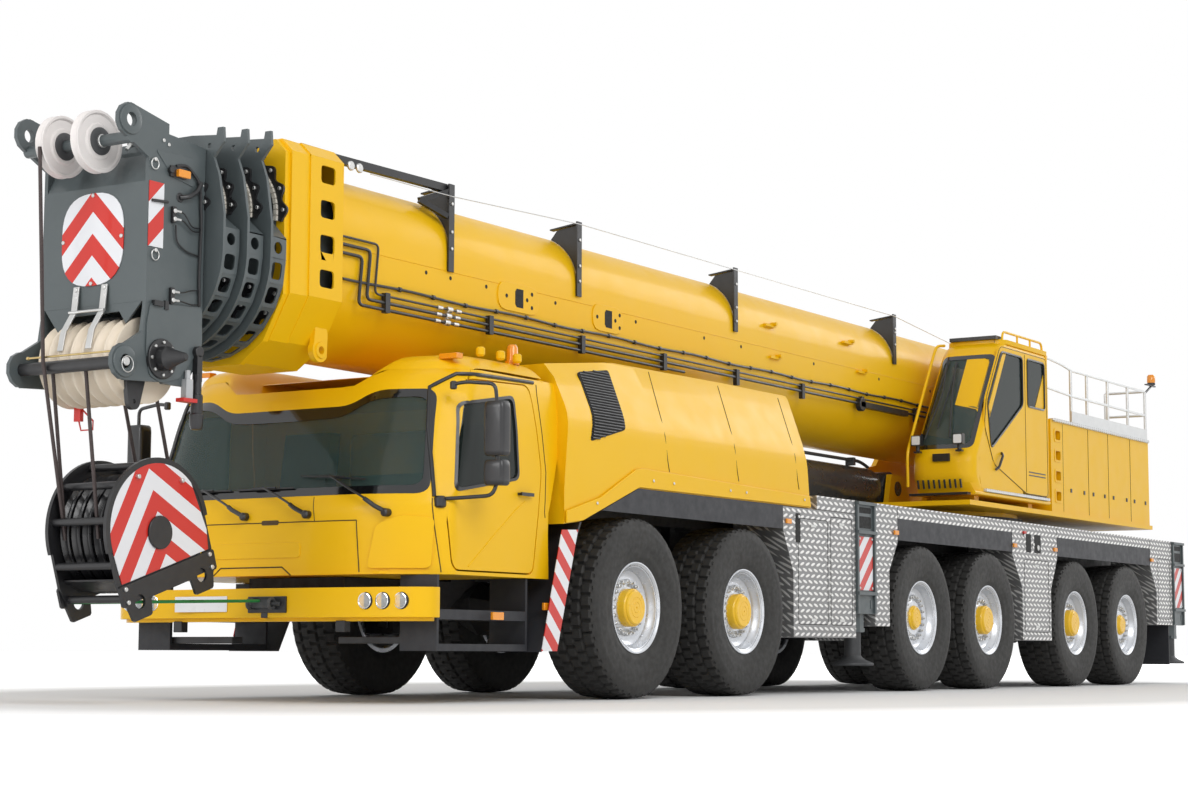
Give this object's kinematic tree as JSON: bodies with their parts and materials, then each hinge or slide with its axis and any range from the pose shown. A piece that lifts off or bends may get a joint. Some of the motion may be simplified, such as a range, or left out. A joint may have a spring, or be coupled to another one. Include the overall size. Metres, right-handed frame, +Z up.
{
  "type": "mobile crane",
  "caption": "Six-axle all-terrain mobile crane with driver cab, slewing superstructure, crane cab, telescopic boom, lift cylinder, hook block and outriggers.",
  "frame": {"origin": "on the ground under the middle of the crane", "axes": "+X forward, +Y to the left, +Z up"},
  "size_m": [18.2459, 3.6, 3.96],
  "materials": {
    "yellow_paint": "gloss",
    "frame_paint": "satin",
    "tread_plate": "brushed",
    "black_rubber": "matt",
    "engine_iron": "matt",
    "tinted_glass": "clear",
    "dark_trim": "matt",
    "boom_grey": "satin",
    "wheel": "matt",
    "cylinder_black": "gloss",
    "rod_chrome": "polished",
    "sheave_nylon": "satin",
    "galvanised": "satin"
  },
  "bodies": {
    "carrier": {"chassis": "frame_paint", "deck_plating": "tread_plate", "mudguards_and_steps": "black_rubber", "engine_housings": "yellow_paint", "engine_block": "engine_iron", "cab_shell": "yellow_paint", "cab_glazing": "tinted_glass", "cab_interior": "dark_trim", "front_bumper": "yellow_paint"},
    "cab_door_left": {"cab_door_left": "yellow_paint"},
    "cab_door_right": {"cab_door_right": "yellow_paint"},
    "superstructure": {"turntable": "yellow_paint", "upper_cab_shell": "yellow_paint", "upper_cab_glazing": "tinted_glass", "upper_cab_interior": "dark_trim", "side_lockers": "yellow_paint", "walkway_rails": "galvanised"},
    "upper_cab_door": {"upper_cab_door": "yellow_paint"},
    "winch_drum": {"winch_drum": "boom_grey"},
    "lift_barrel": {"lift_cylinder_barrel": "cylinder_black"},
    "lift_rod": {"lift_cylinder_rod": "rod_chrome"},
    "boom_base": {"boom_base": "yellow_paint"},
    "boom_section_1": {"boom_section_1": "boom_grey"},
    "boom_section_2": {"boom_section_2": "boom_grey"},
    "boom_section_3": {"boom_section_3": "boom_grey"},
    "boom_section_4": {"boom_section_4": "boom_grey", "head_sheaves": "sheave_nylon", "hook_block": "frame_paint"},
    "knuckle_1_left": {"knuckle_1_left": "frame_paint"},
    "wheel_1_left": {"wheel_1_left": "wheel"},
    "knuckle_1_right": {"knuckle_1_right": "frame_paint"},
    "wheel_1_right": {"wheel_1_right": "wheel"},
    "knuckle_2_left": {"knuckle_2_left": "frame_paint"},
    "wheel_2_left": {"wheel_2_left": "wheel"},
    "knuckle_2_right": {"knuckle_2_right": "frame_paint"},
    "wheel_2_right": {"wheel_2_right": "wheel"},
    "knuckle_3_left": {"knuckle_3_left": "frame_paint"},
    "wheel_3_left": {"wheel_3_left": "wheel"},
    "knuckle_3_right": {"knuckle_3_right": "frame_paint"},
    "wheel_3_right": {"wheel_3_right": "wheel"},
    "knuckle_4_left": {"knuckle_4_left": "frame_paint"},
    "wheel_4_left": {"wheel_4_left": "wheel"},
    "knuckle_4_right": {"knuckle_4_right": "frame_paint"},
    "wheel_4_right": {"wheel_4_right": "wheel"},
    "knuckle_5_left": {"knuckle_5_left": "frame_paint"},
    "wheel_5_left": {"wheel_5_left": "wheel"},
    "knuckle_5_right": {"knuckle_5_right": "frame_paint"},
    "wheel_5_right": {"wheel_5_right": "wheel"},
    "knuckle_6_left": {"knuckle_6_left": "frame_paint"},
    "wheel_6_left": {"wheel_6_left": "wheel"},
    "knuckle_6_right": {"knuckle_6_right": "frame_paint"},
    "wheel_6_right": {"wheel_6_right": "wheel"},
    "outrigger_beam_front_left": {"outrigger_beam_front_left": "boom_grey"},
    "jack_foot_front_left": {"jack_foot_front_left": "frame_paint"},
    "outrigger_beam_front_right": {"outrigger_beam_front_right": "boom_grey"},
    "jack_foot_front_right": {"jack_foot_front_right": "frame_paint"},
    "outrigger_beam_rear_left": {"outrigger_beam_rear_left": "boom_grey"},
    "jack_foot_rear_left": {"jack_foot_rear_left": "frame_paint"},
    "outrigger_beam_rear_right": {"outrigger_beam_rear_right": "boom_grey"},
    "jack_foot_rear_right": {"jack_foot_rear_right": "frame_paint"}
  },
  "joints": [
    {"name": "steer_1_left", "type": "hinge", "parent": "carrier", "child": "knuckle_1_left", "pos_m": [4.195, 1.12, 0.715], "axis": [0, 0, 1], "range_deg": [-35, 35]},
    {"name": "spin_1_left", "type": "hinge", "parent": "knuckle_1_left", "child": "wheel_1_left", "pos_m": [4.195, 1.25, 0.715], "axis": [0, 1, 0], "continuous": true},
    {"name": "steer_1_right", "type": "hinge", "parent": "carrier", "child": "knuckle_1_right", "pos_m": [4.195, -1.12, 0.715], "axis": [0, 0, 1], "range_deg": [-35, 35]},
    {"name": "spin_1_right", "type": "hinge", "parent": "knuckle_1_right", "child": "wheel_1_right", "pos_m": [4.195, -1.25, 0.715], "axis": [0, 1, 0], "continuous": true},
    {"name": "steer_2_left", "type": "hinge", "parent": "carrier", "child": "knuckle_2_left", "pos_m": [2.436, 1.12, 0.715], "axis": [0, 0, 1], "range_deg": [-28, 28]},
    {"name": "spin_2_left", "type": "hinge", "parent": "knuckle_2_left", "child": "wheel_2_left", "pos_m": [2.436, 1.25, 0.715], "axis": [0, 1, 0], "continuous": true},
    {"name": "steer_2_right", "type": "hinge", "parent": "carrier", "child": "knuckle_2_right", "pos_m": [2.436, -1.12, 0.715], "axis": [0, 0, 1], "range_deg": [-28, 28]},
    {"name": "spin_2_right", "type": "hinge", "parent": "knuckle_2_right", "child": "wheel_2_right", "pos_m": [2.436, -1.25, 0.715], "axis": [0, 1, 0], "continuous": true},
    {"name": "steer_3_left", "type": "hinge", "parent": "carrier", "child": "knuckle_3_left", "pos_m": [-1.197, 1.12, 0.715], "axis": [0, 0, 1], "range_deg": [-12.01, 12.01]},
    {"name": "spin_3_left", "type": "hinge", "parent": "knuckle_3_left", "child": "wheel_3_left", "pos_m": [-1.197, 1.25, 0.715], "axis": [0, 1, 0], "continuous": true},
    {"name": "steer_3_right", "type": "hinge", "parent": "carrier", "child": "knuckle_3_right", "pos_m": [-1.197, -1.12, 0.715], "axis": [0, 0, 1], "range_deg": [-12.01, 12.01]},
    {"name": "spin_3_right", "type": "hinge", "parent": "knuckle_3_right", "child": "wheel_3_right", "pos_m": [-1.197, -1.25, 0.715], "axis": [0, 1, 0], "continuous": true},
    {"name": "steer_4_left", "type": "hinge", "parent": "carrier", "child": "knuckle_4_left", "pos_m": [-2.878, 1.12, 0.715], "axis": [0, 0, 1], "range_deg": [-12, 12]},
    {"name": "spin_4_left", "type": "hinge", "parent": "knuckle_4_left", "child": "wheel_4_left", "pos_m": [-2.878, 1.25, 0.715], "axis": [0, 1, 0], "continuous": true},
    {"name": "steer_4_right", "type": "hinge", "parent": "carrier", "child": "knuckle_4_right", "pos_m": [-2.878, -1.12, 0.715], "axis": [0, 0, 1], "range_deg": [-12, 12]},
    {"name": "spin_4_right", "type": "hinge", "parent": "knuckle_4_right", "child": "wheel_4_right", "pos_m": [-2.878, -1.25, 0.715], "axis": [0, 1, 0], "continuous": true},
    {"name": "steer_5_left", "type": "hinge", "parent": "carrier", "child": "knuckle_5_left", "pos_m": [-5.401, 1.12, 0.715], "axis": [0, 0, 1], "range_deg": [-20, 20]},
    {"name": "spin_5_left", "type": "hinge", "parent": "knuckle_5_left", "child": "wheel_5_left", "pos_m": [-5.401, 1.25, 0.715], "axis": [0, 1, 0], "continuous": true},
    {"name": "steer_5_right", "type": "hinge", "parent": "carrier", "child": "knuckle_5_right", "pos_m": [-5.401, -1.12, 0.715], "axis": [0, 0, 1], "range_deg": [-20, 20]},
    {"name": "spin_5_right", "type": "hinge", "parent": "knuckle_5_right", "child": "wheel_5_right", "pos_m": [-5.401, -1.25, 0.715], "axis": [0, 1, 0], "continuous": true},
    {"name": "steer_6_left", "type": "hinge", "parent": "carrier", "child": "knuckle_6_left", "pos_m": [-7.112, 1.12, 0.715], "axis": [0, 0, 1], "range_deg": [-25, 25]},
    {"name": "spin_6_left", "type": "hinge", "parent": "knuckle_6_left", "child": "wheel_6_left", "pos_m": [-7.112, 1.25, 0.715], "axis": [0, 1, 0], "continuous": true},
    {"name": "steer_6_right", "type": "hinge", "parent": "carrier", "child": "knuckle_6_right", "pos_m": [-7.112, -1.12, 0.715], "axis": [0, 0, 1], "range_deg": [-25, 25]},
    {"name": "spin_6_right", "type": "hinge", "parent": "knuckle_6_right", "child": "wheel_6_right", "pos_m": [-7.112, -1.25, 0.715], "axis": [0, 1, 0], "continuous": true},
    {"name": "slew", "type": "hinge", "parent": "carrier", "child": "superstructure", "pos_m": [-4.155, 0, 1.85], "axis": [0, 0, 1], "continuous": true},
    {"name": "door_left", "type": "hinge", "parent": "carrier", "child": "cab_door_left", "pos_m": [6.57, 1.42, 1.6], "axis": [0, 0, -1], "range_deg": [0, 70]},
    {"name": "door_right", "type": "hinge", "parent": "carrier", "child": "cab_door_right", "pos_m": [6.57, -1.42, 1.6], "axis": [0, 0, 1], "range_deg": [0, 70]},
    {"name": "upper_door", "type": "hinge", "parent": "superstructure", "child": "upper_cab_door", "pos_m": [-4.54, 1.5, 2.8], "axis": [0, 0, 1], "range_deg": [0, 80]},
    {"name": "winch", "type": "hinge", "parent": "superstructure", "child": "winch_drum", "pos_m": [-7.4, 0, 2.5], "axis": [0, 1, 0], "continuous": true},
    {"name": "boom_lift", "type": "hinge", "parent": "superstructure", "child": "boom_base", "pos_m": [-5.705, 0, 3.05], "axis": [0, -1, 0], "range_deg": [0, 82]},
    {"name": "lift_pivot", "type": "hinge", "parent": "superstructure", "child": "lift_barrel", "pos_m": [-3.205, 0, 2.15], "axis": [0, -1, 0], "range_deg": [0, 94.1]},
    {"name": "lift_stroke", "type": "slide", "parent": "lift_barrel", "child": "lift_rod", "axis": [1, 0, 0], "range_m": [0, 3.224]},
    {"name": "telescope_1", "type": "slide", "parent": "boom_base", "child": "boom_section_1", "axis": [1, 0, 0], "range_m": [0, 11.3]},
    {"name": "telescope_2", "type": "slide", "parent": "boom_section_1", "child": "boom_section_2", "axis": [1, 0, 0], "range_m": [0, 11.3]},
    {"name": "telescope_3", "type": "slide", "parent": "boom_section_2", "child": "boom_section_3", "axis": [1, 0, 0], "range_m": [0, 11.3]},
    {"name": "telescope_4", "type": "slide", "parent": "boom_section_3", "child": "boom_section_4", "axis": [1, 0, 0], "range_m": [0, 11.3]},
    {"name": "outrigger_front_left", "type": "slide", "parent": "carrier", "child": "outrigger_beam_front_left", "axis": [0, 1, 0], "range_m": [0, 2.05]},
    {"name": "jack_front_left", "type": "slide", "parent": "outrigger_beam_front_left", "child": "jack_foot_front_left", "axis": [0, 0, -1], "range_m": [0, 0.65]},
    {"name": "outrigger_front_right", "type": "slide", "parent": "carrier", "child": "outrigger_beam_front_right", "axis": [0, -1, 0], "range_m": [0, 2.05]},
    {"name": "jack_front_right", "type": "slide", "parent": "outrigger_beam_front_right", "child": "jack_foot_front_right", "axis": [0, 0, -1], "range_m": [0, 0.65]},
    {"name": "outrigger_rear_left", "type": "slide", "parent": "carrier", "child": "outrigger_beam_rear_left", "axis": [0, 1, 0], "range_m": [0, 2.05]},
    {"name": "jack_rear_left", "type": "slide", "parent": "outrigger_beam_rear_left", "child": "jack_foot_rear_left", "axis": [0, 0, -1], "range_m": [0, 0.65]},
    {"name": "outrigger_rear_right", "type": "slide", "parent": "carrier", "child": "outrigger_beam_rear_right", "axis": [0, -1, 0], "range_m": [0, 2.05]},
    {"name": "jack_rear_right", "type": "slide", "parent": "outrigger_beam_rear_right", "child": "jack_foot_rear_right", "axis": [0, 0, -1], "range_m": [0, 0.65]}
  ],
  "couplings": [
    {"joint": "steer_1_right", "follows": "steer_1_left", "ratio": 1},
    {"joint": "steer_2_left", "follows": "steer_1_left", "ratio": 0.8},
    {"joint": "steer_2_right", "follows": "steer_1_left", "ratio": 0.8},
    {"joint": "steer_3_left", "follows": "steer_1_left", "ratio": 0.3429},
    {"joint": "steer_3_right", "follows": "steer_1_left", "ratio": 0.3429},
    {"joint": "steer_4_left", "follows": "steer_6_left", "ratio": 0.48},
    {"joint": "steer_4_right", "follows": "steer_6_left", "ratio": 0.48},
    {"joint": "steer_5_left", "follows": "steer_6_left", "ratio": 0.8},
    {"joint": "steer_5_right", "follows": "steer_6_left", "ratio": 0.8},
    {"joint": "steer_6_right", "follows": "steer_6_left", "ratio": 1},
    {"joint": "lift_pivot", "follows": "boom_lift", "ratio": 1.1456},
    {"joint": "lift_stroke", "follows": "boom_lift", "m_per_rad": 2.2507}
  ]
}
